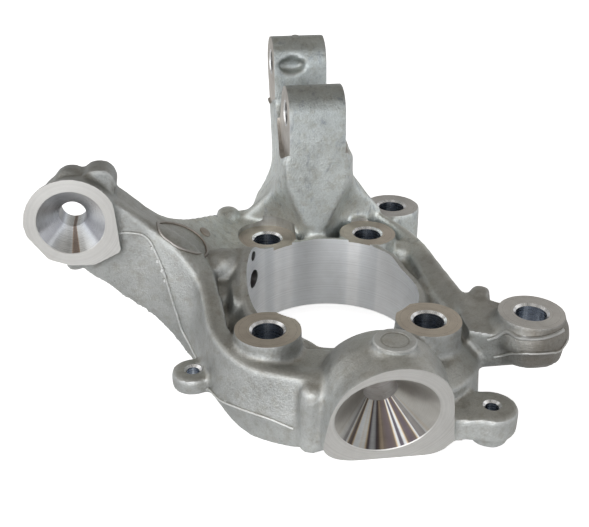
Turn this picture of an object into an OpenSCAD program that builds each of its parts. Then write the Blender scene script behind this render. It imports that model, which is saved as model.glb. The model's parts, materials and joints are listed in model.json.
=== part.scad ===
// Steering knuckle: one aluminium casting with machined seats, bores and tapers.
// The origin is on the hub bore's axis, in the face that the hub bearing bolts to.
// +Z runs inboard along the bore, +Y points up on the car, towards the strut.

/* [Hub bore] */
// Diameter of the hub bore
bore_d = 88; // [84:0.5:90]
// Wall of the barrel round the bore
barrel_wall = 9; // [7:0.5:11]
// Height of the cast rim round the bore at its lowest, above the ball joint
rim_z = 27.5; // [26:0.5:29]
// Depth of the skirt below the hub face
skirt_depth = 6; // [3:0.5:8]
// Diameter of the machined seat for the hub bearing's flange
flange_seat_d = 144; // [138:1:148]

/* [Hub bolts] */
// Radius of the circle that the hub bolts lie on
bolt_circle_r = 58.5; // [57.5:0.1:59.5]
// Angle of each upper bolt from the vertical
upper_bolt_angle = 29; // [27:0.5:31]
// Angle of each lower bolt from the vertical
lower_bolt_angle = 40.7; // [39:0.1:42]
// Height of the bolt seats above the hub face
seat_z = 40.7; // [39:0.1:43]
// Diameter of the bolt seats
seat_d = 31; // [29:0.5:33]
// Diameter of the bolt holes
bolt_hole_d = 14.7; // [12:0.1:16]

/* [Steering arm] */
// Distance of the tie rod from the bore's axis, fore and aft
arm_reach = 127.5; // [122:0.5:134]
// Distance of the tie rod's face above the bore's axis, on the car
arm_set = 5; // [4:0.5:7]
// Height of the tie rod above the hub face
arm_height = 76.3; // [72:0.1:80]

/* [Tie rod boss] */
// Radius of the boss's rim round the taper
tie_rod_rim_r = 22.6; // [21:0.1:24]
// Diameter of the taper's mouth
tie_rod_mouth_d = 32.5; // [30:0.5:35]
// Depth of the taper
tie_rod_taper = 11; // [9:0.5:13]
// Diameter of the pin hole
tie_rod_hole_d = 13.2; // [11:0.1:15]
// Length of the boss
tie_rod_boss_l = 24; // [20:0.5:28]

/* [Ball joint boss] */
// Offset of the ball joint from the bore's axis, fore and aft
ball_x = 8.7; // [7:0.1:10]
// Distance of the ball joint's mouth below the bore's axis, on the car
ball_drop = 92; // [90:0.5:95]
// Height of the ball joint above the hub face
ball_z = 22.4; // [21.5:0.1:23.5]
// Diameter of the taper's mouth
ball_mouth_d = 46.5; // [43:0.5:48]
// Depth of the taper
ball_taper = 16; // [13:0.5:19]
// Diameter of the pin hole
ball_hole_d = 15.6; // [13:0.1:18]
// Depth of the pin hole behind the mouth
ball_hole_l = 34; // [28:1:36]
// Tilt of the taper's axis
ball_tilt = 13.3; // [10:0.1:16]
// Radius of the dome over the ball joint
dome_r = 32; // [30:0.5:34]

/* [Strut tower] */
// Distance of the plate's middle from the bore axis
plate_x = -0.2; // [-1.4:0.4:1.4]
// Turn of the tower about the bore axis
plate_turn = 1.8; // [0:0.1:3]
// Thickness of the plate between its machined faces
plate_t = 30; // [28:0.5:32]
// Distance of the lower strut bolt above the bore's axis, on the car
lower_strut_y = 62; // [61:0.5:64]
// Height of the lower strut bolt above the hub face
lower_strut_z = 109; // [105:1:113]
// Distance of the upper strut bolt above the bore's axis, on the car
upper_strut_y = 117; // [114:0.5:121]
// Height of the upper strut bolt above the hub face
upper_strut_z = 122; // [116:1:128]
// Radius of the lobe round each strut bolt
lobe_r = 14.5; // [13:0.5:16]
// Diameter of the strut bolt holes
strut_hole_d = 12.5; // [10:0.1:14]
// Radius of the clamping face round each strut bolt
clamp_r = 24; // [22:0.5:26]

/* [Caliper ears] */
// Distance of the lower caliper bolt from the bore's axis, fore and aft
lower_caliper_x = 88.1; // [86:0.1:93]
// Distance of the lower caliper bolt below the bore's axis, on the car
lower_caliper_drop = 45.3; // [44:0.1:47]
// Distance of the upper caliper bolt from the bore's axis, fore and aft
upper_caliper_x = 49.8; // [49:0.1:52]
// Distance of the upper caliper bolt above the bore's axis, on the car
upper_caliper_y = 84.6; // [83:0.1:86]
// Height of the caliper faces above the hub face
caliper_z = 41.8; // [40:0.1:44]
// Radius of the lower ear
ear_r = 16.1; // [14.5:0.1:17.5]
// Thickness of the lower ear
ear_t = 21.8; // [18:0.1:24]
// Diameter of the caliper bolt holes
caliper_hole_d = 14.7; // [12:0.1:16]

/* [Shield ears] */
// Ear beside the ball joint
lower_shield = [60.5, -79];
// Ear beside the steering arm
side_shield = [-73.3, -34];
// Height of the shield faces above the hub face
shield_z = 14.5; // [12:0.5:17]
// Radius of the shield ears
shield_r = 12; // [10:0.5:13.5]
// Thickness of the ear beside the steering arm
shield_t = 9; // [7:0.5:10]
// Diameter of the shield screw holes
shield_hole_d = 6.2; // [5:0.1:8]

/* [Sensor port] */
// Angle of the port round the bore
sensor_angle = 152; // [148:1:156]
// Height of the sensor hole
sensor_z = 32; // [30:0.5:34]
// Diameter of the sensor hole
sensor_d = 10; // [8:0.5:12]
// Height of the screw hole
sensor_screw_z = 45.5; // [44:0.5:47]
// Diameter of the screw hole
sensor_screw_d = 5.3; // [4:0.1:6]

/* [Hidden] */
$fn = 48;
// Overlap of a cut past the face that it opens
over = 1;
// Raw metal under the hub face before it is machined
stock = 1.5;
// Length of a drill that goes right through
through = 120;
// Height that a seat's cutter clears above the seat
seat_clear = 6;
low = -skirt_depth;
bore_r = bore_d / 2;
barrel_r = bore_r + barrel_wall;
deck_z = rim_z;
tie_rod_mouth = [-arm_reach, arm_set, arm_height];
ball_mouth = [ball_x, -ball_drop, ball_z];
lower_strut = [lower_strut_y, lower_strut_z];
upper_strut = [upper_strut_y, upper_strut_z];
lower_caliper = [lower_caliper_x, -lower_caliper_drop];
upper_caliper = [upper_caliper_x, upper_caliper_y];
bolts = [for (s = [-1, 1]) each [
    bolt_circle_r * [s * sin(upper_bolt_angle), cos(upper_bolt_angle)],
    bolt_circle_r * [s * sin(lower_bolt_angle), -cos(lower_bolt_angle)]]];

// Points of an arc round c
function arc(c, r, from, to, n) =
    [for (i = [0:n]) let (a = from + (to - from) * i / n) c + r * [cos(a), sin(a)]];

// Outline p with each corner rounded over the length r
function corner(a, b, c, r, n) =
    let (u = (a - b) / norm(a - b), v = (c - b) / norm(c - b), k = min(r, norm(a - b) / 2, norm(c - b) / 2))
    [for (i = [0:n]) let (t = i / n) b + k * ((1 - t) * (1 - t) * u + t * t * v)];
function rounded(p, r, n = 3) =
    let (m = len(p)) [for (i = [0:m - 1]) each corner(p[(i + m - 1) % m], p[i], p[(i + 1) % m], r, n)];

// Smooth curve through a list of stations, k steps from each to the next
function between(a, b, c, d, t) =
    0.5 * (2 * b + (c - a) * t + (2 * a - 5 * b + 4 * c - d) * t * t + (3 * b - a - 3 * c + d) * t * t * t);
function spline(p, k) =
    let (m = len(p) - 1)
    concat([for (i = [0:m - 1], j = [0:k - 1])
        between(p[max(i - 1, 0)], p[i], p[i + 1], p[min(i + 2, m)], j / k)], [p[m]]);

// Closed skin over loops that have the same number of points
module skin(loops) {
    n = len(loops[0]);
    m = len(loops);
    sides = [for (j = [0:m - 2], i = [0:n - 1])
        let (k = (i + 1) % n, a = j * n, b = a + n)
        each [[a + i, b + i, b + k], [a + i, b + k, a + k]]];
    start = [for (i = [0:n - 1]) i];
    end = [for (i = [n - 1:-1:0]) (m - 1) * n + i];
    polyhedron([for (l = loops) each l], concat([start], sides, [end]));
}

module at(p, z) { translate([p[0], p[1], z]) children(); }
module along_x(p) { translate([-60, p[0], p[1]]) rotate([0, 90, 0]) children(); }

// Outline of the casting seen along the bore
outline = [[-14, -76], [-31, -69], [-45, -61], [-55, -50], [-62, -37], [-65, -20], [-68, -4], [-66, 34],
    [-58, 60], [-44, 82], [-28, 97], [18, 97], [42, 92], [60, 84], [60, 50], [61, 18], [64, -14],
    [67, -36], [63, -57], [53, -70], [36, -80]];

module deck() {
    skin([for (s = [[0.88, deck_z], [0.98, 20], [1, -stock]]) [for (p = rounded(outline, 5, 2)) [p[0] * s[0], p[1] * s[0], s[1]]]]);
}

// Valley between the sensor's column and the beam: angle, radius and height of its floor, outer radius at the top
valley = [[208, 59, 25, 62], [196, 57.5, 24, 61], [184, 57, 23, 61], [172, 57.5, 24, 62], [160, 58.5, 28, 64],
    [150, 60, 35, 67], [142, 63, 44, 70]];
valley_top = 62;
module trough() {
    skin([for (s = spline(valley, 2))
        [for (q = [[s[1] - 2, s[2]], [s[1] + 1, s[2]], [s[3], valley_top], [bore_r, valley_top], [barrel_r - 1, s[2] + 16]])
            [q[0] * cos(s[0]), q[0] * sin(s[0]), q[1]]]]);
}

module barrel() {
    rotate_extrude($fn = 96)
        polygon([[bore_r - 8, -stock], [barrel_r, -stock], [barrel_r, rim_z - 3], [barrel_r - 3, rim_z], [bore_r - 8, rim_z]]);
}

module bolt_bosses() {
    for (p = bolts) at(p, -stock) cylinder(d1 = seat_d + 4, d2 = seat_d, h = seat_z + stock);
}

// Rails of the outer beam, from the ball joint round the arm side to the tie rod boss. Each station's points
// start from the share of the way to the tie rod that it begins with.
beam = [
    // share, top edge, parting line, lower edge, inner top edge, inner lower edge
    [0, [-6, -75, 31.5], [-6, -78.5, 8], [-6, -75, low], [-6, -66, 31], [-6, -60, low]],
    [0, [-19, -74, 31.5], [-19, -77.6, 8], [-19, -75.2, low], [-17, -65, 31], [-17, -60, low]],
    [0, [-31, -71, 31.5], [-31.3, -75, 8], [-31.4, -72.8, low], [-28, -62, 31], [-26, -58, low]],
    [0, [-48, -63, 32], [-48.7, -66.4, 9], [-47, -63.6, low], [-42.5, -55, 32], [-41, -52, low]],
    [0, [-58.9, -50.9, 34], [-61.5, -54.4, 9], [-56.6, -52.4, low + 3], [-51, -45, 34], [-50, -44, low + 3]],
    [0, [-65.5, -33, 36], [-68, -36.5, 8], [-63, -35, 0], [-56, -30, 36], [-56, -30, 0]],
    [0.1, [-54.25, -18.5, 32.87], [-58.25, -19, 3.37], [-56.25, -16.5, -7.63], [-44.25, -16.5, 33.37], [-44.25, -14.5, -7.63]],
    [0.2, [-43, -9, 31.24], [-50, -7.5, 2.74], [-50.5, -5, -11.26], [-33.5, -3, 31.74], [-36.5, 7, -12.26]],
    [0.4, [-21, -5, 23.48], [-29.5, -4.5, 3.48], [-33, -1, -16.5], [-14, 8, 23.98], [-25, 13, -15.52]],
    [0.6, [-2.5, -1.5, 16.72], [-9.5, -1.5, 3.22], [-16.5, 2, -22.8], [1.5, 11, 17.22], [-9.5, 15, -20]],
    [0.8, [11, 3, 10.36], [8.5, 2.5, 1.96], [-5, 4, -27.8], [13, 14, 9.96], [-2, 16, -23.5]],
    [1, [22.9, 3, 6.7], [22.5, 3, -4.8], [10.5, 3, -33.5], [23.5, 15, 5.7], [11.5, 15, -30]],
    [1, [15.5, 3, 11.7], [14.5, 3, -1.3], [3.5, 3, -28], [15.5, 15, 11.7], [3.5, 15, -24]]];
module outer_beam() {
    rails = [for (s = beam) [for (i = [1:5]) s[0] * tie_rod_mouth + s[i]]];
    skin([for (s = spline(rails, 3)) [s[2], s[1], s[0], s[0] + (s[3] - s[0]) * 0.3 + [0, 0, 1.5], s[3], s[4]]]);
}

// Web of the steering arm behind the beam, from the bore to the tie rod boss
arm_web = [
    // share of the way to the tie rod, front, front top and low, back, back top and low
    [0, [-40, -6], [36, 0], [-30, 86], [45, 0]],
    [0, [-52, -10], [38, 0], [-46, 79], [47.5, 0]],
    [0.25, [-34.12, -5.25], [26.93, -18.07], [-26.12, 60.75], [34.42, -18.07]],
    [0.5, [-10.25, 1.5], [18.85, -22.15], [-9.25, 42.5], [21.35, -24.15]],
    [0.75, [5.62, 5.25], [13.78, -21.22], [8.62, 30.25], [10.78, -23.22]],
    [1, [22.5, 5], [6.7, -30.3], [23.5, 24], [9.5, -30.3]],
    [1, [13.5, 5], [11.7, -26.3], [14.5, 23], [14.2, -26.3]]];
module steering_arm() {
    m = tie_rod_mouth;
    lines = [for (s = arm_web) let (p = s[0] * [m[0], m[1]], h = s[0] * [m[2], m[2]]) [p + s[1], h + s[2], p + s[3], h + s[4]]];
    skin([for (s = spline(lines, 3))
        let (f = s[0], b = s[2], l = norm(b - f), u = (b - f) / l,
            section = rounded([[0, s[1][1]], [0, s[1][0]], [l / 2, (s[1][0] + s[3][0]) / 2 - 1], [l, s[3][0]],
                [l, s[3][0] - 14], [l - 4, s[3][1]]], 4, 2))
        [for (q = section) [f[0] + u[0] * q[0], f[1] + u[1] * q[0], q[1]]]]);
}

// Outlines of the tie rod boss at its face and at its back, from the middle of the mouth
tie_rod_arc = [24, 194];
tie_rod_face = concat(arc([0, 0], tie_rod_rim_r, tie_rod_arc[0], tie_rod_arc[1], 12),
    tie_rod_rim_r * [[-0.56, -0.84], [-0.13, -1], [0.4, -1.02], [0.95, -0.75], [0.99, -0.71]]);
tie_rod_back = [for (p = tie_rod_face) [3, -1] + p * 0.9];
// Lumps behind the rim of the boss: across, up, radius, start
tie_rod_lumps = [[14, 15, 8.4, 9], [0.5, 13, 8.6, 14], [-1, -24.5, 4.5, 5]];
module tie_rod_boss() {
    translate(tie_rod_mouth) {
        skin([for (s = [[tie_rod_back, tie_rod_boss_l], [tie_rod_back, 13], [tie_rod_face, 1], [tie_rod_face, -4]])
            [for (p = s[0]) [p[0], s[1], p[1]]]]);
        for (p = tie_rod_lumps)
            translate([p[0], p[3], p[1]]) rotate([-90, 0, 0]) cylinder(r = p[2], h = tie_rod_boss_l - p[3], $fn = 32);
    }
}

module ball_axis() { translate(ball_mouth) rotate([ball_tilt - 90, 0, 0]) children(); }

// Section of the ball joint boss at its face and under its dome towards the bore, from the middle of the mouth
ball_face = [[-27.5, -20.4], [-21.7, -25.9], [-13.7, low - ball_z], [25.3, low - ball_z], [32.1, -22.4], [31.2, -8.9],
    [27.9, 10.9], [24.3, 18.6], [17.3, 25.6], [6.8, 29.6], [-4.5, 29], [-14.3, 23.2], [-21, 16], [-25.4, 3.8]];
ball_back = [[-28.7, -20.4], [-24.7, -25.9], [-16.7, low - ball_z], [25.3, low - ball_z], [32.1, -22.4], [31.7, -8.9],
    [29.8, 10.9], [25.3, 18.6], [17.3, 25.6], [6.8, 29.6], [-4.5, 29.4], [-15.2, 24.6], [-22.7, 17.6], [-27.5, 5.6]];
// Middle of the dome, from the middle of the mouth
dome = [0.8, 14.5, -2.4];
dome_pad = [3.7, 11];
module ball_boss() {
    steps = concat([for (a = [84:-12:12]) [dome[1] + dome_r * sin(a), cos(a), ball_back]],
        [[dome[1], 1, ball_back], [4, 1, ball_face], [-12, 1, ball_face]]);
    c = [dome[0], dome[2]];
    translate(ball_mouth) {
        skin([for (s = steps) [for (p = rounded(s[2], 6, 2))
            let (d = p - c) [c[0] + d[0] * sqrt(s[1]), s[0], c[1] + d[1] * s[1]]]]);
        at(dome_pad, dome_r - 14) cylinder(r1 = 12, r2 = 9.5, h = 13.3);
        at([-28.5, 17.5], low - ball_z + 2) cylinder(r1 = 5.5, r2 = 4, h = 31, $fn = 32);
    }
}

// Side view of the strut tower, up and inboard
tower_front = lower_strut_y - lobe_r - 1;
lobe_arcs = [[180, 20], [165, -20]];
tower_side = concat([[tower_front, 0], [tower_front, lower_strut_z - 12]],
    arc(lower_strut, lobe_r, lobe_arcs[0][0], lobe_arcs[0][1], 8),
    [lower_strut + [18, -7], lower_strut + [24, -11], upper_strut - [22, 25], upper_strut - [17, 20]],
    arc(upper_strut, lobe_r, lobe_arcs[1][0], lobe_arcs[1][1], 8),
    [for (p = [[9, 60], [17, 36], [20.5, 0]]) [upper_strut_y - p[0], p[1]]]);
module tower_slab(from, to) {
    translate([from, 0, 0]) rotate([90, 0, 90]) linear_extrude(to - from) polygon(tower_side);
}

// Foot of the tower, scooped out above the two bolt seats: height, half of its front, two points of the scoop behind
// the front, arm side and caliper side. Distances run back from the front.
foot = [
    [4, 3, [12, 11.5], [19, 21], [-40, 26], [49, 25]],
    [42, 3, [12, 11.5], [19, 21], [-41, 25], [48, 24]],
    [48, 6, [12.5, 11], [19, 20.5], [-37.5, 24], [43, 24.5]],
    [55, 9.5, [14, 9.5], [19.5, 18.5], [-30, 23], [36, 24]],
    [63, 13.5, [16.5, 7.5], [20.5, 15], [-22.8, 20], [28, 22]],
    [73, 17, [18.4, 5], [20, 10], [-20, 15], [23.5, 16]],
    [87, 18.3, [18.8, 4], [19.3, 8], [-19.3, 12], [22, 12]],
    [91, 16, [16.2, 4], [16.4, 8], [-16.4, 12], [18, 12]],
    [100, 16, [16.2, 4], [16.4, 8], [-16.4, 12], [18, 12]],
    [upper_strut_z + lobe_r + 8, 16, [16.2, 4], [16.4, 8], [-16.4, 12], [18, 12]]];
// Back of the foot: half width and distance from the front
foot_back = [15.6, 94];
module tower_frame() { rotate([0, 0, plate_turn]) children(); }
module tower() {
    tower_frame() intersection() {
        skin([for (f = spline(foot, 2))
            let (x = plate_x, arm = f[4], ear = f[5], side = [[x - f[1], 0], [x + f[1], 0], f[2], f[3], ear,
                    [min(ear[0], 32), 34], [min(ear[0], 30), 46], foot_back, [-foot_back[0], foot_back[1]], [min(arm[0] * 0.78, -foot_back[0]), 38], arm,
                    [-f[3][0], f[3][1]], [-f[2][0], f[2][1]]])
            [for (q = rounded(side, 4, 2)) [q[0], tower_front - 0.5 + q[1], f[0]]]]);
        tower_slab(-60, 60);
    }
}

// Clamping faces, cut round both strut bolts
module clamp_faces() {
    for (p = [lower_strut, upper_strut], side = [-1, 1])
        translate([plate_x + side * (plate_t / 2 + 10), p[0], p[1]]) rotate([0, 90, 0])
            cylinder(r = clamp_r, h = 20, center = true);
}

module caliper_ears() {
    // Steps of the lower ear from its underside up: radius beyond the seat, height
    step = [[0.5, 0], [1.5, 9.5], [3.2, 9.5], [2.2, 16], [0.5, ear_t - 3], [0, ear_t]];
    at(lower_caliper, caliper_z - ear_t)
        rotate_extrude($fn = 36) polygon(concat([[0, 0]], [for (s = step) [ear_r + s[0], s[1]]], [[0, ear_t]]));
    at(upper_caliper, 12) cylinder(r1 = 17, r2 = seat_d / 2 + 1, h = caliper_z - 12);
    at(lower_caliper - [14, -33], 24) cylinder(r1 = 7, r2 = 4.5, h = 13, $fn = 32);
    hull() {
        at(lower_caliper, caliper_z - ear_t + 2) cylinder(r = ear_r - 2, h = 13, $fn = 32);
        translate([58, -46, 12]) cube([2, 14, 22]);
        translate([62, -18, 12]) cube([2, 10, 23]);
    }
}

// Rib along the caliper side, from the tower to the lower ear: x, y, top, width towards the bore
rib = [[40, 71, 44, 4], [50.8, 60.6, 41, 7], [58.8, 44, 38, 11], [62.3, 18, 36.5, 13], [66, -11.5, 35.5, 15], [70, -34, 34, 12]];
module caliper_rib() {
    p = spline(rib, 3);
    m = len(p) - 1;
    skin([for (i = [0:m])
        let (a = p[max(i - 1, 0)], b = p[min(i + 1, m)], d = [b[0] - a[0], b[1] - a[1]], n = [d[1], -d[0]] / norm(d),
            top = p[i][2], w = p[i][3])
        [for (q = rounded([[-w, 10], [3, 10], [0.5, top - 1], [-2.5, top], [1 - w, top - 4]], 2, 2))
            [p[i][0] - n[0] * q[0], p[i][1] - n[1] * q[0], q[1]]]]);
}

// Low pad between the bolt bosses and the ball joint, on the arm side
pad = [[-8, -48], [-20, -46], [-31, -48], [-35, -57], [-24, -67], [-8, -68]];
module deck_pad() {
    translate([0, 0, 16]) linear_extrude(deck_z + 3 - 16) polygon(rounded(pad, 4, 2));
}

module shield_ears() {
    at(lower_shield, 2) cylinder(r = shield_r, h = shield_z - 2);
    at(lower_shield, -4) cylinder(r = 9, h = 10, $fn = 32);
    hull() {
        at(lower_shield, 2) cylinder(r = shield_r - 1, h = shield_z - 3, $fn = 32);
        translate([36, -86, 2]) cube([2, 26, shield_z - 3]);
    }
    at(side_shield, shield_z - shield_t) cylinder(r = shield_r - 1.8, h = shield_t);
    at(side_shield + [5, -7], shield_z - shield_t) cube([10, 16, shield_t - 1]);
}

// Cast rim round the bore, highest at the sensor port: angle, height, width of its flank beyond the barrel
rim = [[250, 28.5, 4], [243, 31, 4], [230, 32, 5], [206, 33, 7], [188, 38, 8], [172, 45, 8], [160, 49.5, 8], [150, 50, 8],
    [135, 44, 6], [112, 41.5, 5], [90, 42, 5], [68, 41.5, 5], [44, 40, 5], [34, 39, 5], [24, 34.5, 5], [10, 33.5, 5],
    [-10, 33.5, 5], [-35, 33, 4], [-56, 28, 3]];
module raised_rim() {
    skin([for (s = spline(rim, 2))
        let (foot_r = barrel_r + s[2], top = s[1])
        [for (q = [[bore_r - 6, 2], [foot_r, 2], [foot_r, 20], [barrel_r + s[2] * 0.25, max(22, top - 12)],
                [bore_r + 5, top - 2.5], [bore_r + 2.5, top], [bore_r - 6, top]])
            [q[0] * cos(s[0]), q[0] * sin(s[0]), q[1]]]]);
}

// Length of the sensor's drill, from just inside the bore's wall
port_l = 24;
port_start = bore_r - 6;
module sensor_boss() {
    rotate([0, 0, sensor_angle]) translate([port_start, 0, 0]) rotate([0, 90, 0]) hull() {
        translate([-sensor_screw_z + 3, 0, 0]) cylinder(r1 = 9, r2 = 6, h = port_l - 9, $fn = 32);
        translate([-sensor_z, 0, 0]) cylinder(r1 = 14, r2 = 8, h = port_l - 5, $fn = 32);
    }
}

module casting() {
    difference() {
        union() {
            deck();
            deck_pad();
            outer_beam();
            steering_arm();
        }
        trough();
    }
    barrel();
    bolt_bosses();
    tie_rod_boss();
    ball_boss();
    tower();
    caliper_ears();
    caliper_rib();
    shield_ears();
    raised_rim();
    sensor_boss();
}

module machining() {
    rotate_extrude($fn = 96)
        polygon([[0, low - over], [flange_seat_d / 2, low - over], [flange_seat_d / 2, 0], [bore_r, 0], [bore_r, 80], [0, 80]]);
    for (p = bolts) {
        at(p, low + over) cylinder(d = bolt_hole_d, h = through);
        at(p, seat_z) cylinder(d = seat_d, h = seat_clear);
    }
    for (p = [lower_caliper, upper_caliper]) {
        at(p, low) cylinder(d = caliper_hole_d, h = through);
        at(p, caliper_z) cylinder(d = seat_d + 1, h = seat_clear);
    }
    for (p = [lower_shield, side_shield]) at(p, low - over) cylinder(d = shield_hole_d, h = 40);
    translate(tie_rod_mouth) rotate([-90, 0, 0]) {
        cylinder(d1 = tie_rod_mouth_d, d2 = tie_rod_hole_d, h = tie_rod_taper);
        cylinder(d = tie_rod_hole_d, h = 60);
        translate([0, 0, -20]) cylinder(r = tie_rod_rim_r + 6.4, h = 20);
    }
    ball_axis() {
        cylinder(d1 = ball_mouth_d, d2 = ball_hole_d, h = ball_taper);
        cylinder(d = ball_hole_d, h = ball_hole_l);
        translate([0, 0, -30]) cylinder(r = 41, h = 30);
    }
    tower_frame() {
        clamp_faces();
        for (p = [lower_strut, upper_strut]) along_x(p) cylinder(d = strut_hole_d, h = through);
        translate([plate_x - 5, upper_strut[0] - 31, upper_strut[1] + 1]) scale([1, 1, 0.55]) rotate([-90, 0, 0])
            cylinder(r1 = 12, r2 = 7, h = 21);
    }
    rotate([0, 0, sensor_angle]) translate([port_start, 0, 0]) rotate([0, 90, 0]) {
        translate([-sensor_z, 0, 0]) cylinder(d = sensor_d, h = port_l);
        translate([-sensor_screw_z, 0, 0]) cylinder(d = sensor_screw_d, h = port_l - 6);
    }
}

module knuckle() {
    color("silver") difference() {
        casting();
        machining();
    }
}

knuckle();
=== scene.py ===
# %% [markdown]
# # A cast steering knuckle, raw from the mould and then machined
#
# A steering knuckle starts as an aluminium casting: soft corners, a sandy skin, a thin seam where the mould
# halves met. Then it goes to the machine shop, where a lathe and a mill cut the bore, the bolt seats and the
# tapers into it, and those places come out flat, bright and sharp-edged. It could be modelled as one mesh with
# painted seats, but the soft and the crisp edges side by side are what makes such a part look real. So this
# lesson works in the same order as the factory: first cast it, then machine it.

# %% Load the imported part
import json
import math

import bpy
from mathutils import Matrix, Vector

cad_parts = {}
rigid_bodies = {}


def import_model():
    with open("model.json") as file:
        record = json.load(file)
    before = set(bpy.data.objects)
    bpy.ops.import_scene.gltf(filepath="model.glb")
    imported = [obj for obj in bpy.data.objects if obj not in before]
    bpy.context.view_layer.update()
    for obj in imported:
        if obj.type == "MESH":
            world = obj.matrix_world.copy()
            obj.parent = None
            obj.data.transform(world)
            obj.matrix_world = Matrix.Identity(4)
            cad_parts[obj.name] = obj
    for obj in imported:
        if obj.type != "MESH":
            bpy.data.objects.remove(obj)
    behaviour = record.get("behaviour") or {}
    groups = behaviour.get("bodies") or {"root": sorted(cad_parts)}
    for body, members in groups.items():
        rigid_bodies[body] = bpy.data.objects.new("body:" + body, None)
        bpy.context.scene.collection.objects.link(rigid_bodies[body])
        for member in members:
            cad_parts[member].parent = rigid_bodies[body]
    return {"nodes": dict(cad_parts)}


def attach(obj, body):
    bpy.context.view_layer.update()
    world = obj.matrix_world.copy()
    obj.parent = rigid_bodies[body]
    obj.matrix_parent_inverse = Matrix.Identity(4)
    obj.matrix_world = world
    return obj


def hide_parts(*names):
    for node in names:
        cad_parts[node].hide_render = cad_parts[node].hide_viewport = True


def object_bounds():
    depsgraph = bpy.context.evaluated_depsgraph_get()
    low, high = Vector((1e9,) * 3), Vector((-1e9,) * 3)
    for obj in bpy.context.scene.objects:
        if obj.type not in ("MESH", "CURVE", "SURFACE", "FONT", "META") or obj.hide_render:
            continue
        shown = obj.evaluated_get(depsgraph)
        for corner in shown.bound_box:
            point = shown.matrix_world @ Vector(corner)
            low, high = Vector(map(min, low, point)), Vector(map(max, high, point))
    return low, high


MM = 0.001

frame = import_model()
cad_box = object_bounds()
drawing = frame["nodes"]["knuckle"]
print("drawing:", len(drawing.data.polygons), "faces, box in mm:",
      [[round(v / MM, 1) for v in corner] for corner in cad_box])

# %% [markdown]
# ## The camera
#
# The part was photographed from above the ball joint, about 28 degrees over the table. A camera could be nudged
# until the picture looks right. But the round seats have known places, and their ellipses are enough to solve
# where the camera stood. Its three directions are written down as they came out, and the lens follows from the
# picture's width of 589 pixels.

# %% Camera
PICTURE_WIDTH = 589
FOCAL_PIXELS = 900
SENSOR_WIDTH = 36
STAND = Vector((-0.0742374, -0.3961603, 0.2602287))
RIGHT = Vector((0.9912847, -0.1314680, 0.0084166))
UP = Vector((0.0536200, 0.4610089, 0.8857741))
FORWARD = Vector((0.1203311, 0.8776030, -0.4640404))

view = bpy.data.objects.new("camera", bpy.data.cameras.new("camera"))
bpy.context.scene.collection.objects.link(view)
view.data.sensor_fit = "HORIZONTAL"
view.data.sensor_width = SENSOR_WIDTH
view.data.lens = SENSOR_WIDTH * FOCAL_PIXELS / PICTURE_WIDTH
view.matrix_world = Matrix.Translation(STAND) @ Matrix((RIGHT, UP, -FORWARD)).transposed().to_4x4()
bpy.context.scene.camera = view
print("lens:", round(view.data.lens, 1), "mm")

# %% [markdown]
# ## Short words for nodes
#
# A material is a set of nodes joined by wires. In the editor each wire is dragged by hand. In a script a few
# short helpers do the same and keep the recipes readable: they add a node, wire it, do a sum, move a value to
# another range, colour it with a ramp, or lay one colour over another.

# %% Nodes and wires
def node(tree, kind, **settings):
    """Adds a node; a setting that is a socket's name with spaces as _ sets that socket."""
    new = tree.nodes.new(kind)
    for name, value in settings.items():
        socket = new.inputs.get(name.replace("_", " "))
        if socket is not None and not hasattr(new, name):
            socket.default_value = value
        else:
            setattr(new, name, value)
    return new


def wire(tree, value, socket):
    """Wires an output to a socket; a number or a colour is set there instead."""
    if isinstance(value, bpy.types.NodeSocket):
        tree.links.new(value, socket)
    else:
        socket.default_value = value


def maths(tree, operation, *values):
    new = node(tree, "ShaderNodeMath", operation=operation)
    for value, socket in zip(values, new.inputs):
        wire(tree, value, socket)
    return new.outputs[0]


def vector_maths(tree, operation, values, result="Vector"):
    new = node(tree, "ShaderNodeVectorMath", operation=operation)
    for value, socket in zip(values, new.inputs):
        wire(tree, value, socket)
    return new.outputs[result]


def split(tree, vector):
    """The X, Y and Z outputs of a vector."""
    new = node(tree, "ShaderNodeSeparateXYZ")
    wire(tree, vector, new.inputs[0])
    return new.outputs


# %% [markdown]
# ## Ranges and ramps
#
# Most of a finish is one value turned into another: a height into a shade, a noise into a stain. Map Range moves
# a value and holds it at the ends, a Color Ramp gives it a colour, and Mix lays one colour over another. A curve
# could do the same, but stops in a list are easier to read and to change.

# %% Ranges and ramps
def rescale(tree, value, old, new=(0, 1)):
    """A value moved from its old range to a new one, and held at the ends."""
    change = node(tree, "ShaderNodeMapRange", From_Min=old[0], From_Max=old[1], To_Min=new[0], To_Max=new[1])
    wire(tree, value, change.inputs["Value"])
    return change.outputs[0]


def ramp(tree, value, stops, blend="LINEAR"):
    """A colour for each value: stops are (value, colour)."""
    new = node(tree, "ShaderNodeValToRGB")
    new.color_ramp.interpolation = blend
    ends = new.color_ramp.elements
    for k, (position, colour) in enumerate(stops):
        stop = ends[k] if k < 2 else ends.new(position)
        stop.position = position
        stop.color = (*colour, 1)
    wire(tree, value, new.inputs["Fac"])
    return new.outputs["Color"]


def lay(tree, how, share, base, over):
    """One colour laid over another; share says how strongly."""
    new = node(tree, "ShaderNodeMix", data_type="RGBA", blend_type=how)
    wire(tree, share, new.inputs["Factor"])
    wire(tree, base, new.inputs[6])
    wire(tree, over, new.inputs[7])
    return new.outputs[2]


def grey(level):
    return (level, level, level)


# %% [markdown]
# ## The room
#
# Bare metal shows its surroundings more than its own colour, so the room comes before the metal. The sides of
# the real part are light and its tops are darker and a little brown: its room was bright at eye level and dim at
# the ceiling. One ramp by height gives that. A second one, by compass direction, sets light and dark walls
# round the part, and they become the bands and glints on the turned metal. Only the camera itself sees plain
# white, through Is Camera Ray.

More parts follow.
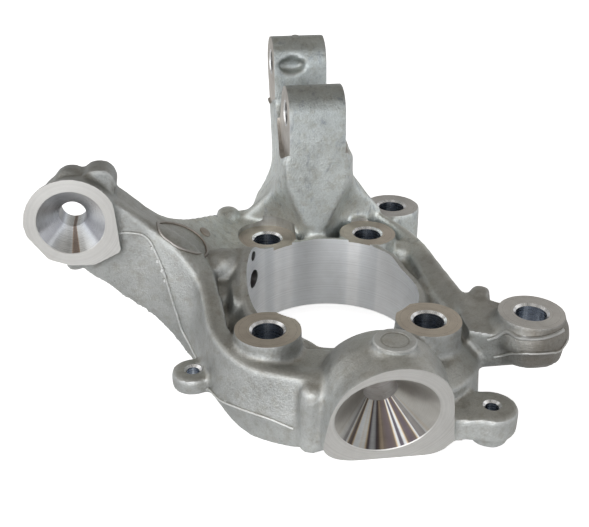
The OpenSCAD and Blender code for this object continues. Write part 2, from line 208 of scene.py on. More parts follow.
# %% Room
ROOM_LIGHT = 1.8
SKY = [(0.0, (0.92, 0.95, 1.0)), (0.22, (0.86, 0.87, 0.88)), (0.42, (0.66, 0.65, 0.63)),
       (0.65, (0.48, 0.47, 0.45)), (1.0, (0.42, 0.41, 0.39))]
WALLS = [(0.0, 0.45), (0.09, 0.35), (0.133, 0.95), (0.17, 0.45), (0.22, 0.60), (0.26, 0.45), (0.30, 0.16),
         (0.345, 0.35), (0.38, 0.75), (0.42, 0.35), (0.55, 0.28), (0.64, 0.55), (0.75, 0.30), (0.90, 0.35),
         (1.0, 0.45)]


def walls(tree, way):
    """How bright the room is in each direction of the compass, from the left round by the front."""
    turn = maths(tree, "ARCTAN2", way["Y"], way["X"])
    return ramp(tree, rescale(tree, turn, (-math.pi, math.pi)), [(at, grey(v)) for at, v in WALLS], "EASE")


def white_room():
    world = bpy.data.worlds.new("room")
    world.use_nodes = True
    tree = world.node_tree
    tree.nodes.clear()
    way = split(tree, node(tree, "ShaderNodeTexCoord").outputs["Generated"])
    light = node(tree, "ShaderNodeBackground", Strength=ROOM_LIGHT)
    wire(tree, lay(tree, "MULTIPLY", 1.0, ramp(tree, way["Z"], SKY, "EASE"), walls(tree, way)), light.inputs["Color"])
    seen = node(tree, "ShaderNodeBackground", Strength=1.0, Color=(1, 1, 1, 1))
    choose = node(tree, "ShaderNodeMixShader")
    wire(tree, node(tree, "ShaderNodeLightPath").outputs["Is Camera Ray"], choose.inputs["Fac"])
    wire(tree, light.outputs[0], choose.inputs[1])
    wire(tree, seen.outputs[0], choose.inputs[2])
    wire(tree, choose.outputs[0], node(tree, "ShaderNodeOutputWorld").inputs["Surface"])
    bpy.context.scene.world = world
    print("room:", len(WALLS), "wall tones,", len(SKY), "sky tones")


white_room()
bpy.context.scene.view_settings.view_transform = "Standard"

# %% [markdown]
# ## Softboxes
#
# Large lamps close to the part give wide, soft highlights, as a photographer's softboxes do. Small ones would
# leave hard white dots on the skin. The broad one in front does most of the work, and two weak ones at the sides
# keep the flanks from going flat.

# %% Softboxes
def softbox(name, place, aim, size, watts):
    lamp = bpy.data.lights.new(name, "AREA")
    lamp.shape = "RECTANGLE"
    lamp.size, lamp.size_y = size
    lamp.energy = watts
    box = bpy.data.objects.new(name, lamp)
    bpy.context.scene.collection.objects.link(box)
    box.location = place
    box.rotation_euler = (Vector(aim) - Vector(place)).to_track_quat("-Z", "Y").to_euler()
    print(name, watts, "W")


softbox("front softbox", (-0.55, -1.25, 0.45), (0, 0, 0.03), (2.0, 1.0), 12)
softbox("left softbox", (-1.1, 0.1, 0.5), (0, 0, 0.04), (1.2, 1.2), 3)
softbox("right softbox", (1.0, -0.2, 0.35), (0, 0, 0.04), (0.9, 0.9), 1.5)

# %% [markdown]
# ## The table
#
# The part lies on a white table. Matt paint alone would come out grey, with an edge against the background. So
# the paint also glows for the camera, a little more towards the table's edge, until the two meet in white, and
# the part's soft shadow still falls on it. Mirrored rays see only a faint glow, because the tapers and the front
# faces look down at the table and a bright one would wash them out.

# %% Table
TABLE_RADIUS = 3
FADE_FROM, FADE_TO = 0.3, 0.9
GLOW_MIDDLE, GLOW_EDGE = 0.80, 1.0
MIRRORED_GLOW = 0.08


def table_paint():
    paint = bpy.data.materials.new("white_table")
    paint.use_nodes = True
    tree = paint.node_tree
    tree.nodes.clear()
    path = node(tree, "ShaderNodeLightPath").outputs
    reach = vector_maths(tree, "LENGTH", [node(tree, "ShaderNodeTexCoord").outputs["Object"]], "Value")
    fade = rescale(tree, reach, (FADE_FROM, FADE_TO), (GLOW_MIDDLE, GLOW_EDGE))
    seen = maths(tree, "MULTIPLY", path["Is Camera Ray"], fade)
    glow = node(tree, "ShaderNodeEmission", Color=(1, 1, 1, 1))
    wire(tree, maths(tree, "MULTIPLY_ADD", path["Is Glossy Ray"], MIRRORED_GLOW, seen), glow.inputs["Strength"])
    matt = node(tree, "ShaderNodeBsdfDiffuse", Color=(0.86, 0.86, 0.86, 1))
    both = node(tree, "ShaderNodeAddShader")
    wire(tree, matt.outputs[0], both.inputs[0])
    wire(tree, glow.outputs[0], both.inputs[1])
    wire(tree, both.outputs[0], node(tree, "ShaderNodeOutputMaterial").inputs["Surface"])
    return paint


bpy.ops.object.select_all(action="DESELECT")
bpy.ops.mesh.primitive_circle_add(vertices=96, radius=TABLE_RADIUS, fill_type="NGON", location=(0, 0, cad_box[0].z))
table = bpy.context.object
table.name = "table"
bpy.ops.object.transform_apply(location=True, rotation=True, scale=True)
table.data.materials.append(table_paint())
print("table at", round(cad_box[0].z / MM, 1), "mm")

# %% [markdown]
# ## The cast skin
#
# The casting has been shot-blasted: thousands of small dents make it matt and sparkly at once. A painted texture
# would need an unwrapped mesh and would show its seams. Noise that is measured in the part's own space needs
# neither, and it stays on the metal from every side. So the skin starts from three helpers: a bare metal, a
# noise with grains of so many millimetres, and dents of so many millimetres.

# %% Metal, noise and dents
def metal(name, metallic=1.0):
    """A bare metal, ready for colour, roughness and dents."""
    new = bpy.data.materials.new(name)
    new.use_nodes = True
    shader = new.node_tree.nodes["Principled BSDF"]
    shader.inputs["Metallic"].default_value = metallic
    return new, new.node_tree, shader


def noise(tree, place, size, **settings):
    """Noise whose grains are about size millimetres across."""
    new = node(tree, "ShaderNodeTexNoise", Scale=1 / (size * MM), **settings)
    wire(tree, place, new.inputs["Vector"])
    return new.outputs["Fac"]


def bump(tree, height, depth, strength, under=None):
    """A dent pattern depth millimetres deep, laid over another one."""
    new = node(tree, "ShaderNodeBump", Strength=strength, Distance=depth * MM)
    wire(tree, height, new.inputs["Height"])
    if under is not None:
        wire(tree, under, new.inputs["Normal"])
    return new.outputs["Normal"]


# %% [markdown]
# ## Tones of the skin
#
# No casting is one even grey. Blasting leaves grain, stains and dark specks, and the tower has been scuffed.
# Dust and painted shade darken the tops, and painted shade darkens the caliper side. One big noise could stand
# for all of it, but then none of it could be steered. So each is a tint of its own that is multiplied over the
# one before, with a share that says how strongly.

# %% Marks of the blasting
CLEAN = grey(1.0)


def blast_marks(tree, place, dents):
    """Grain, stains and specks, as (tint, share)."""
    stains = noise(tree, place, 5, Detail=3.0, Roughness=0.7)
    specks = noise(tree, place, 2.4, Detail=5.0, Roughness=0.8)
    return [(ramp(tree, dents, [(0.33, (0.70, 0.70, 0.69)), (0.66, CLEAN)]), 0.6),
            (ramp(tree, stains, [(0.34, (0.80, 0.77, 0.72)), (0.52, CLEAN)]), 0.7),
            (ramp(tree, specks, [(0.30, (0.45, 0.44, 0.44)), (0.39, CLEAN)]), 0.6)]


# %% [markdown]
# ## Tones from place to place
#
# The greys of this casting drift from one end to the other: lighter towards the tower along Y, darker in the
# middle. Painted shade darkens the caliper side along X and the higher parts along Z, and painted light lifts the
# lowest. Such tones could be painted on the corners of the mesh, but the remesh would lose them. Ramps along X,
# Y and Z, with their stops in millimetres, stay where they belong.

# %% Tones from place to place
TOWER_STARTS, TOWER_FULL = 26, 44
# Painted shade: past X = 66 mm, on the caliper side, the skin is darkened and browned.
CALIPER_SIDE_SHADE = [(66, CLEAN), (84, (0.54, 0.50, 0.46))]
UP_THE_CAR = [(-80, grey(0.83)), (-67, grey(0.70)), (TOWER_STARTS, grey(0.70)), (TOWER_FULL, (1.12, 1.15, 1.15)),
              (80, (1.12, 1.15, 1.15)), (102, (1.36, 1.40, 1.40))]
# Painted light lifts the lowest parts along Z, and painted shade darkens the higher ones.
LIGHT_AND_SHADE_BY_HEIGHT = [(0, grey(1.2)), (20, CLEAN), (80, CLEAN), (118, (0.56, 0.57, 0.58))]
# Upward faces turn darker and browner: partly dust, partly painted shade on the tops.
DUST_AND_TOP_SHADE = [(0.35, CLEAN), (0.95, (0.96, 0.92, 0.86))]


def by_mm(tree, value, stops):
    """A tint that changes along one direction: stops are (millimetres, tint)."""
    low, high = stops[0][0], stops[-1][0]
    share = rescale(tree, value, (low * MM, high * MM))
    return ramp(tree, share, [((at - low) / (high - low), tint) for at, tint in stops])


def tones_by_place(tree, place, facing):
    """Dust and painted shade on the tops, painted shade by the caliper, greys along Y and painted shade and light by
    height, as (tint, share).
    """
    at = split(tree, place)
    return [(ramp(tree, split(tree, facing)["Z"], DUST_AND_TOP_SHADE), 1.0),
            (by_mm(tree, at["X"], CALIPER_SIDE_SHADE), 1.0),
            (by_mm(tree, at["Y"], UP_THE_CAR), 1.0),
            (by_mm(tree, at["Z"], LIGHT_AND_SHADE_BY_HEIGHT), 1.0)]


# %% [markdown]
# ## Scuffs
#
# Castings rub against each other in the crate, the tall tower most of all. A rub is longer than it is wide, so a
# Mapping node draws the noise out along the tower. Only the lowest values of the noise turn dark. Below the
# tower a little is added to them, so the scuffs fade out there without a mask of their own.

# %% Scuffs
def scuffs(tree, place):
    """Short rubs along the tower, which fade out below it, as (tint, share)."""
    long_way = node(tree, "ShaderNodeMapping", Scale=(1, 1, 0.4))
    wire(tree, place, long_way.inputs["Vector"])
    rubs = noise(tree, long_way.outputs[0], 4.5, Detail=5.0, Roughness=0.75, Distortion=0.5)
    below = rescale(tree, split(tree, place)["Y"], (TOWER_STARTS * MM, TOWER_FULL * MM), (0.25, 0))
    return [(ramp(tree, maths(tree, "ADD", rubs, below), [(0.35, (0.58, 0.60, 0.66)), (0.46, CLEAN)]), 0.7)]


# %% [markdown]
# ## Worn edges with painted highlight, hollows with painted shade
#
# Shot hits an edge from two sides and leaves it bright, and here that bright edge is made strong enough to be a
# painted highlight as well. The hollows are darkened and browned as painted shade. Edges could be painted by
# hand, but Pointiness finds them on any mesh: above one half the surface bulges, below it the surface sinks. The
# same skin is made three times in different tones, for the casting, for the raised lines in a lighter tone, and
# for a ring with a brown stain.

# %% Skin
# Colour of the bright edges: partly wear, partly a painted highlight.
WORN_EDGE_AND_HIGHLIGHT = (0.70, 0.71, 0.71, 1)


def cast_skin(name, light):
    """The blasted skin; light is its cleanest colour."""
    skin, tree, shader = metal(name, 0.85)
    at = node(tree, "ShaderNodeTexCoord").outputs
    clouds = noise(tree, at["Object"], 17, Detail=5.0, Roughness=0.6, Distortion=0.4)
    dents = noise(tree, at["Object"], 0.9, Detail=4.0, Roughness=0.65)
    waves = noise(tree, at["Object"], 4.5, Detail=2.0, Roughness=0.5)
    edge = node(tree, "ShaderNodeNewGeometry").outputs["Pointiness"]
    colour = ramp(tree, clouds, [(0.30, tuple(0.78 * c for c in light)), (0.70, light)])
    # The last tint darkens and browns the hollows, where Pointiness is low: painted shade.
    for tint, share in [*blast_marks(tree, at["Object"], dents), *tones_by_place(tree, at["Object"], at["Normal"]),
                        *scuffs(tree, at["Object"]),
                        (ramp(tree, edge, [(0.42, (0.50, 0.46, 0.42)), (0.49, CLEAN)]), 0.8)]:
        colour = lay(tree, "MULTIPLY", share, colour, tint)
    # Where Pointiness is high the edge turns light: partly wear, partly a painted highlight.
    worn_and_highlit = ramp(tree, edge, [(0.512, grey(0)), (0.60, grey(0.75))])
    wire(tree, lay(tree, "MIX", worn_and_highlit, colour, WORN_EDGE_AND_HIGHLIGHT), shader.inputs["Base Color"])
    wire(tree, rescale(tree, dents, (0, 1), (0.30, 0.50)), shader.inputs["Roughness"])
    wire(tree, bump(tree, dents, 0.35, 0.8, bump(tree, waves, 0.35, 0.5)), shader.inputs["Normal"])
    print(name, len(tree.nodes), "nodes")
    return skin


cast = cast_skin("shot_blasted_cast", (0.728, 0.749, 0.742))
# A lighter copy of the skin, for the seams and the flash.
lighter_skin = cast_skin("lighter_flash_skin", (1.04, 1.07, 1.06))
stained = cast_skin("stained_ring", (0.40, 0.32, 0.25))

# %% [markdown]
# ## Turned and drilled finishes
#
# A cutting tool leaves fine lines: rings on a face, and hoops round a bore. Rings could be a wave texture, but a
# wave repeats. One noise that only knows the distance from the axis, or the height along it, gives lines of
# uneven depth that never do. A Mapping node carries the axis of each cut, so its lines are round about their
# own hole, and the shader's Tangent runs over them, so each highlight is drawn out across the lines.

# %% Tool lines
def tilt_to(axis):
    """The turn that brings Z onto an axis."""
    return Vector((0, 0, 1)).rotation_difference(Vector(axis).normalized()).to_euler()


def about_axis(tree, centre, axis):
    """The place on the part, its height along an axis and its arm from that axis."""
    place = node(tree, "ShaderNodeTexCoord").outputs["Object"]
    turn = node(tree, "ShaderNodeMapping", vector_type="TEXTURE", Location=Vector(centre) * MM,
                Rotation=tilt_to(axis))
    wire(tree, place, turn.inputs["Vector"])
    seen = split(tree, turn.outputs[0])
    arm = node(tree, "ShaderNodeCombineXYZ")
    wire(tree, seen["X"], arm.inputs["X"])
    wire(tree, seen["Y"], arm.inputs["Y"])
    return place, seen["Z"], arm.outputs[0]


def uneven_lines(tree, across, pitch):
    lines = node(tree, "ShaderNodeTexNoise", noise_dimensions="1D", Detail=3.0, Roughness=0.7,
                 Scale=1 / (pitch * MM))
    wire(tree, across, lines.inputs["W"])
    return lines.outputs["Fac"]


# %% [markdown]
# ## Painted reflections in polished metal
#
# A reamed cone gathers the room into streaks that all run towards its tip, some bright, some nearly black, and
# the bore shows broad soft bands. The room alone would need far sharper walls for that. So these streaks and
# bands are painted reflections: a noise that only knows the direction round the axis tints the metal, and the
# share makes the streaks gather on the side where the real ones do. The wilder they are, the less they follow
# that side and the more they follow the noise.

# %% Painted reflection streaks
# Paints reflection streaks into the colour, by direction round the axis.
def streaked(tree, arm, colour, fineness, wild, tints):
    around = vector_maths(tree, "NORMALIZE", [arm])
    patches = node(tree, "ShaderNodeTexNoise", Scale=fineness, Detail=1.0, Roughness=0.5)
    wire(tree, around, patches.inputs["Vector"])
    gather = vector_maths(tree, "DOT_PRODUCT", [around, (0, 1, 0)], "Value")
    calm = maths(tree, "MULTIPLY", gather, 1 - wild)
    pattern = maths(tree, "MULTIPLY_ADD", patches.outputs["Fac"], wild, calm)
    share = rescale(tree, gather, (0.35, 0.75), (1 - wild, 1))
    return lay(tree, "MULTIPLY", share, colour, ramp(tree, pattern, tints))


# %% [markdown]
# ## One recipe for every cut
#
# Each machined face is a bare metal with its lines, a little smudged by oily hands, glossier in some lines than
# in others, and brushed along them. Thirty materials could be made by hand, but they differ in few things: the
# axis, the pitch of the lines, the dirt. One recipe takes those as words, and each cut still gets its own metal.

# %% Cut metal
def cut_metal(name, colour, roughness, centre=(0, 0, 0), axis=(0, 0, 1), pitch=0.5, hoops=False, depth=0.01,
              dirt=0.25, brushed=0.7, streaks=None):
    """A cut face with its tool lines; streaks = (how fine, how wild, tints) of painted reflection."""
    finish, tree, shader = metal(name)
    place, height, arm = about_axis(tree, centre, axis)
    if hoops:
        across = height
        over = node(tree, "ShaderNodeCombineXYZ", **dict(zip("XYZ", Vector(axis).normalized()))).outputs[0]
    else:
        across = vector_maths(tree, "LENGTH", [arm], "Value")
        over = vector_maths(tree, "SUBTRACT", [place, Vector(centre) * MM])
    lines = uneven_lines(tree, across, pitch)
    smears = noise(tree, place, 7, Detail=4.0, Roughness=0.6, Distortion=0.6)
    smudge = (1 - dirt, 1 - dirt * 1.08, 1 - dirt * 1.15)
    mixed = lay(tree, "MULTIPLY", 1.0, ramp(tree, lines, [(0.3, tuple(0.86 * c for c in colour)), (0.7, colour)]),
                ramp(tree, smears, [(0.3, smudge), (0.6, CLEAN)]))
    if streaks:
        mixed = streaked(tree, arm, mixed, *streaks)
    wire(tree, mixed, shader.inputs["Base Color"])
    wire(tree, rescale(tree, lines, (0, 1), (roughness * 0.75, roughness * 1.3)), shader.inputs["Roughness"])
    shader.inputs["Anisotropic"].default_value = brushed
    wire(tree, over, shader.inputs["Tangent"])
    wire(tree, bump(tree, lines, depth, 0.7), shader.inputs["Normal"])
    return finish


# %% [markdown]
# ## The lathe's finishes
#
# The bore and the flange seat are turned about the hub's axis, which is the drawing's own Z, so they need no
# centre. The bore is fine and bright, with broad soft bands of painted reflection. A chamfer is so narrow that it
# shows as one bright line, so it gets hardly any dirt.

# %% Bore, hub face and chamfers
# Broad soft bands of painted reflection in the bore.
BORE_PAINTED_BANDS = [(0.40, (0.80, 0.81, 0.82)), (0.50, (0.88, 0.89, 0.90)), (0.56, CLEAN)]
bore_metal = cut_metal("turned_bore", (0.98, 0.99, 1.0), 0.40, pitch=0.8, hoops=True, depth=0.006, dirt=0.05,
                       streaks=(2.4, 1, BORE_PAINTED_BANDS))
hub_metal = cut_metal("turned_hub_face", grey(0.74), 0.32, pitch=0.9)
edge_metal = cut_metal("bright_chamfer", grey(0.94), 0.25, dirt=0.04, brushed=0.3)
print("finishes:", bore_metal.name, hub_metal.name, edge_metal.name)

# %% [markdown]
# ## Turned cutters
#
# Every cut in this part is a turned shape: a flat round seat, a cone, a hole. Each could be put together from
# cylinders and cones, but then their ends would have to match. So every cutter starts as one flat circle, which
# is extruded and scaled step by step along its axis, as a lathe profile is drawn, and is then laid in place.
# Each step has the finish that it leaves in the metal, because a Boolean can hand the cutter's material on to
# the faces that it cuts.

# %% Picking and painting
def clear_selection():
    if bpy.context.object and bpy.context.object.mode != "OBJECT":
        bpy.ops.object.mode_set(mode="OBJECT")
    bpy.ops.object.select_all(action="DESELECT")


def pick(thing):
    clear_selection()
    thing.select_set(True)
    bpy.context.view_layer.objects.active = thing


def paint(tool, finish):
    """Gives the picked faces a finish."""
    if finish.name not in tool.data.materials:
        tool.data.materials.append(finish)
    tool.active_material_index = tool.data.materials.find(finish.name)
    bpy.ops.object.material_slot_assign()


# %% [markdown]
# ## Drawing a profile
#
# On a lathe the tool's path is a line of radius and height. Here the same line becomes a solid: the top face is
# pushed up by each step and scaled about the axis to the next radius. Spin would turn a drawn line round as
# well, but it leaves a seam to close. A step of the same height makes a flat shoulder.

# %% Turned tool
def turned(name, profile, centre, axis, sides=64):
    """A turned solid: profile is (radius, height, finish of the step up to here) in mm from centre along axis."""
    clear_selection()
    r, z, first = profile[0]
    bpy.ops.mesh.primitive_circle_add(vertices=sides, radius=r * MM, fill_type="NGON", location=(0, 0, z * MM))
    tool = bpy.context.object
    tool.name = name
    bpy.ops.object.transform_apply(location=True)
    bpy.ops.object.mode_set(mode="EDIT")
    bpy.ops.mesh.select_mode(type="FACE")
    paint(tool, first)
    for r_next, z_next, finish in profile[1:]:
        bpy.ops.mesh.extrude_region_move(TRANSFORM_OT_translate={"value": (0, 0, (z_next - z) * MM)})
        grow = r_next / r
        bpy.ops.transform.resize(value=(grow, grow, 1), center_override=(0, 0, z_next * MM))
        bpy.ops.mesh.select_more()
        paint(tool, finish)
        bpy.ops.mesh.select_less()
        r, z = r_next, z_next
    bpy.ops.mesh.select_all(action="SELECT")
    bpy.ops.mesh.normals_make_consistent(inside=False)
    bpy.ops.object.mode_set(mode="OBJECT")
    tool.matrix_world = Matrix.Translation(Vector(centre) * MM) @ tilt_to(axis).to_matrix().to_4x4()
    bpy.ops.object.transform_apply(location=True, rotation=True, scale=True)
    return tool


# %% [markdown]
# ## Cutting and melting
#
# A Boolean takes the tool out of the casting, or makes the two one. The Manifold solver is quick and exact on
# closed meshes, which all of these are. Transfer hands the tool's finish on to the new faces, so that nothing has
# to be picked and painted after the cut.

# %% Cut or melt
def combine(piece, tool, how="DIFFERENCE"):
    """Cuts a tool out of the piece, or melts it into the piece, and hands on the tool's finish."""
    pick(piece)
    step = piece.modifiers.new(how.lower(), "BOOLEAN")
    step.operation = how
    step.object = tool
    step.solver = "MANIFOLD"
    step.material_mode = "TRANSFER"
    before = len(piece.data.polygons)
    bpy.ops.object.modifier_apply(modifier=step.name)
    print(f"{how.lower()} {tool.name}: {before} -> {len(piece.data.polygons)} faces")
    bpy.data.objects.remove(tool)


# %% [markdown]
# ## Places and sizes
#
# The machined places are few, and each is known from the drawing. They could be typed again at each cut, but
# the plugs, the stock and the cutters all need the same ones. So they are written here once, in millimetres.

# %% Places of the hub and the ears
HUB = (0, 0, 0)
INWARD = (0, 0, 1)
BORE_R, FLANGE_R = 44, 72
BOLT_CIRCLE_R, BOLT_R = 58.5, 7.35
SEAT_Z, CALIPER_Z, SHIELD_Z = 40.7, 41.8, 14.5
bolt_angles = [math.radians(a) for a in (-29, 29, 139.3, -139.3)]
hub_bolts = [(BOLT_CIRCLE_R * math.sin(a), BOLT_CIRCLE_R * math.cos(a)) for a in bolt_angles]
lower_caliper, upper_caliper = (88.1, -45.3), (49.8, 84.6)
lower_shield, side_shield = (60.5, -79), (-73.3, -34)
print("bolts:", [(round(x, 1), round(y, 1)) for x, y in hub_bolts])

# %% [markdown]
# ## Places that lean
#
# The joints, the tower and the sensor don't look along the drawing's axes: the ball joint's pin leans 13 degrees,
# the tower is turned by two, and the sensor points out at 152. So each has a place and an axis of length one.
# With those two, one cutter fits anywhere, and no cutter has to be turned by eye.

# %% Places of the joints, the tower and the sensor
PLATE_HALF = 15
PLATE_TURN, BALL_LEAN, SENSOR_TURN = math.radians(1.8), math.radians(13.3), math.radians(152)
tie_rod = Vector((-127.5, 5, 76.3))
tie_axis = Vector((0, 1, 0))
ball = Vector((8.7, -92, 22.4))
ball_axis = Vector((0, math.cos(BALL_LEAN), math.sin(BALL_LEAN)))
tower_turn = Matrix.Rotation(PLATE_TURN, 3, "Z")
strut_bolts = [tower_turn @ Vector((-0.2, 62, 109)), tower_turn @ Vector((-0.2, 117, 122))]
strut_axis = tower_turn @ Vector((1, 0, 0))
sensor_port, sensor_screw = (0, 0, 32), (0, 0, 45.5)
sensor_out = Vector((math.cos(SENSOR_TURN), math.sin(SENSOR_TURN), 0))
print("strut bolts:", [tuple(round(v, 1) for v in place) for place in strut_bolts])

# %% [markdown]
# ## A copy of the drawing
#
# The drawing shows the finished part, and it has to stay as it is. So the work is done on a copy. Its mesh comes
# as loose triangles, which would tear apart under every tool, and merging the doubled corners makes one skin of
# them.

# %% Copy of the drawing
MERGE = 0.00001


def copy_of(source, name):
    clear_selection()
    new = source.copy()
    new.data = source.data.copy()
    new.name = name
    new.parent = None
    for key in list(new.keys()):
        del new[key]
    bpy.context.scene.collection.objects.link(new)
    new.data.materials.clear()
    new.data.materials.append(cast)
    pick(new)
    bpy.ops.object.mode_set(mode="EDIT")
    bpy.ops.mesh.select_all(action="SELECT")
    bpy.ops.mesh.remove_doubles(threshold=MERGE)
    bpy.ops.object.mode_set(mode="OBJECT")
    return new


casting = copy_of(drawing, "casting")
print("merged:", len(casting.data.vertices), "corners")

# %% [markdown]
# ## Stock
#
# A foundry casts every face that will be machined a few millimetres too thick, so that the tool always finds
# metal to cut. A whole copy of the part could be scaled up for that, but then the rough faces would grow too.
# Here the machined faces alone are picked, by the plane that they lie in and the way that they look, and are
# extruded along their normals.

# %% Stock on the machined faces
FLAT = 0.05
STOCK, BORE_STOCK = 2.0, 5


def on_face(place, way, reach=math.inf):
    """Picks the faces in the plane through a place that look along a way and lie within reach, in mm."""
    place, way = Vector(place), Vector(way)
    return lambda c, n: abs((c - place).dot(way)) < FLAT and n.dot(way) > 0.99 and (c - place).length < reach


def in_bore(c, n):
    return abs(c.xy.length - BORE_R) < 0.4 and n.z < 0.1 and n.xy.dot(c.xy) < -0.9 * c.xy.length


def add_stock(piece, wanted, amount):
    """Pushes out the faces that wanted(centre, normal) picks. Millimetres."""
    pick(piece)
    bpy.ops.object.mode_set(mode="EDIT")
    bpy.ops.mesh.select_mode(type="FACE")
    bpy.ops.mesh.select_all(action="DESELECT")
    bpy.ops.object.mode_set(mode="OBJECT")
    for face in piece.data.polygons:
        face.select = bool(wanted(face.center / MM, face.normal))
    print("stock of", amount, "mm on", sum(face.select for face in piece.data.polygons), "faces")
    bpy.ops.object.mode_set(mode="EDIT")
    bpy.ops.mesh.extrude_region_shrink_fatten(TRANSFORM_OT_shrink_fatten={"value": amount * MM})
    bpy.ops.object.mode_set(mode="OBJECT")


add_stock(casting, in_bore, BORE_STOCK)
add_stock(casting, on_face(HUB, (0, 0, -1), FLANGE_R), STOCK)
add_stock(casting, on_face(tie_rod, -tie_axis, 32.5), STOCK)
add_stock(casting, on_face(ball, -ball_axis), STOCK)
for way in (-strut_axis, strut_axis):
    add_stock(casting, on_face(strut_bolts[0] + way * PLATE_HALF, way), STOCK)

# %% [markdown]
# ## Plugs
#
# In the foundry the holes are solid metal too. Deleting their walls and closing the gaps by hand would take long
# on a mesh of triangles. It is easier to join a turned plug to the casting in each hole, a little wider and
# higher than the hole is, because the next step melts everything that overlaps into one.

# %% Plugs
def plug(piece, name, profile, centre, axis, sides=48):
    """A turned solid that is joined to the piece."""
    filler = turned(name, [(r, z, cast) for r, z in profile], centre, axis, sides)
    clear_selection()
    filler.select_set(True)
    piece.select_set(True)
    bpy.context.view_layer.objects.active = piece
    bpy.ops.object.join()


PLUGS = [("bolt plug", [(9, -1), (9, 30), (15.8, 31), (15.8, 42.4)], (x, y, 0), INWARD) for x, y in hub_bolts]
PLUGS += [("lower caliper plug", [(9, 22), (9, 34), (15.2, 35), (15.2, 43.4)], (*lower_caliper, 0), INWARD),
          ("upper caliper plug", [(9, 0), (9, 32), (14.6, 33), (14.6, 43.4)], (*upper_caliper, 0), INWARD),
          ("lower shield plug", [(5, -3.5), (5, 14.4)], (*lower_shield, 0), INWARD),
          ("side shield plug", [(5, 6), (5, 14.4)], (*side_shield, 0), INWARD),
          ("tie rod plug", [(18, -1.9), (18, 3), (9, 12), (9, 23.5)], tie_rod, tie_axis),
          ("ball plug", [(24.5, -1.9), (24.5, 2), (11, 17), (11, 38)], ball, ball_axis),
          ("lower strut plug", [(8, -15.5), (8, 15.5)], strut_bolts[0], strut_axis),
          ("upper strut plug", [(8, -15.5), (8, 15.5)], strut_bolts[1], strut_axis),
          ("sensor plug", [(7, 40), (7, 58)], sensor_port, sensor_out),
          ("sensor screw plug", [(4, 40), (4, 54)], sensor_screw, sensor_out)]
for name, profile, centre, axis in PLUGS:
    plug(casting, name, profile, centre, axis)
print(len(PLUGS), "plugs")

# %% [markdown]
# ## Lumps of the mould
#
# A mould has soft swellings that no drawing gives: where metal is fed in, where a core rested, where a thin wall
# was made safe. They could be sculpted afterwards, but a sculpted bump seldom has the same skin. Joined here as
# round-headed plugs, they melt into the casting with the same soft corners as the rest.

# %% Lumps
LUMPS = [("lump behind the valley", (-48.5, 72, 43), [(6.8, -12), (6.8, 4), (5.6, 6.4), (2.5, 7.8)]),
         ("lump on the rim", (46.8, 45.6, 27), [(7, -4), (7, 4), (5.4, 7.6), (2.4, 9.4)]),
         ("flank of the sensor boss", (-54.2, 20, 0), [(9.6, 1), (9.6, 40), (8.8, 45), (6.6, 48.4), (3, 49.8)]),
         ("belly below the sensor boss", (-55, 7, 0), [(9.4, 1), (9.4, 28), (7.4, 34), (3, 37)]),
         ("foot of the belly", (-54.5, -6, 0), [(9, 1), (9, 20), (7, 26), (3, 28.5)]),
         ("column beside the ball joint", (-22, -76.6, 0), [(5.8, -3), (6, 0), (6, 24), (5.2, 28.5), (3, 31)]),
         ("root of the column", (-18.5, -71, 0), [(8, 1), (8, 27), (6, 31.5), (3, 33)])]
for name, place, profile in LUMPS:
    plug(casting, name, profile, place, INWARD, 32)
print(len(LUMPS), "lumps")

# %% [markdown]
# ## Melting it into one skin
#
# Metal that has flowed in a mould has no sharp corner, inside or outside. A Bevel on every edge fails where many
# edges meet. Remesh rebuilds the whole surface from small cubes instead, which swallows all overlaps, and a
# Smooth modifier then rounds every corner by about the same amount.

# %% Melt
def melt(piece, grain, rounds):
    pick(piece)
    step = piece.modifiers.new("melt", "REMESH")
    step.mode = "VOXEL"
    step.voxel_size = grain * MM
    bpy.ops.object.modifier_apply(modifier=step.name)
    step = piece.modifiers.new("flow", "SMOOTH")
    step.factor = 0.5
    step.iterations = rounds
    bpy.ops.object.modifier_apply(modifier=step.name)
    print("raw casting:", len(piece.data.polygons), "faces")


melt(casting, grain=1.35, rounds=6)

# %% [markdown]
# ## Lines that stand out of the skin
#
# Thin raised lines run over the casting. A dent pattern could fake them, but their edges would vanish in the
# outline. So each starts as a line of points that is dropped onto the skin, gets a round section as a curve, and
# is melted into the casting by a Boolean union. A curve leaves its end caps loose, so the doubles are merged and
# the normals made to agree first.

# %% Ridges
def on_skin(piece, points, lift):
    """Each point moved to the nearest place on the piece, then lifted off it by so many millimetres."""
    found = [piece.closest_point_on_mesh(Vector(p) * MM) for p in points]
    return [place + normal * lift * MM for _, place, normal, _ in found]


def ridge(piece, name, points, radius, finish, closed=False):
    line = bpy.data.curves.new(name, "CURVE")
    line.dimensions = "3D"
    line.bevel_depth = radius * MM
    line.bevel_resolution = 2
    line.use_fill_caps = True
    thread = line.splines.new("POLY")
    thread.points.add(len(points) - 1)
    for slot, p in zip(thread.points, points):
        slot.co = (*p, 1)
    thread.use_cyclic_u = closed
    bar = bpy.data.objects.new(name, line)
    bpy.context.scene.collection.objects.link(bar)
    pick(bar)
    bpy.ops.object.convert(target="MESH")
    bar = bpy.context.object
    bpy.ops.object.mode_set(mode="EDIT")
    bpy.ops.mesh.select_all(action="SELECT")
    bpy.ops.mesh.remove_doubles(threshold=MERGE)
    bpy.ops.mesh.normals_make_consistent(inside=False)
    bpy.ops.object.mode_set(mode="OBJECT")
    bar.data.materials.clear()
    bar.data.materials.append(finish)
    combine(piece, bar, "UNION")


# %% [markdown]
# ## Smooth lines through stations
#
# A long seam is known at a few places only, its stations. Straight pieces between them would show corners, and
# the handles of a Bezier curve would have to be set by hand. This line bends smoothly and still goes through
# every station.

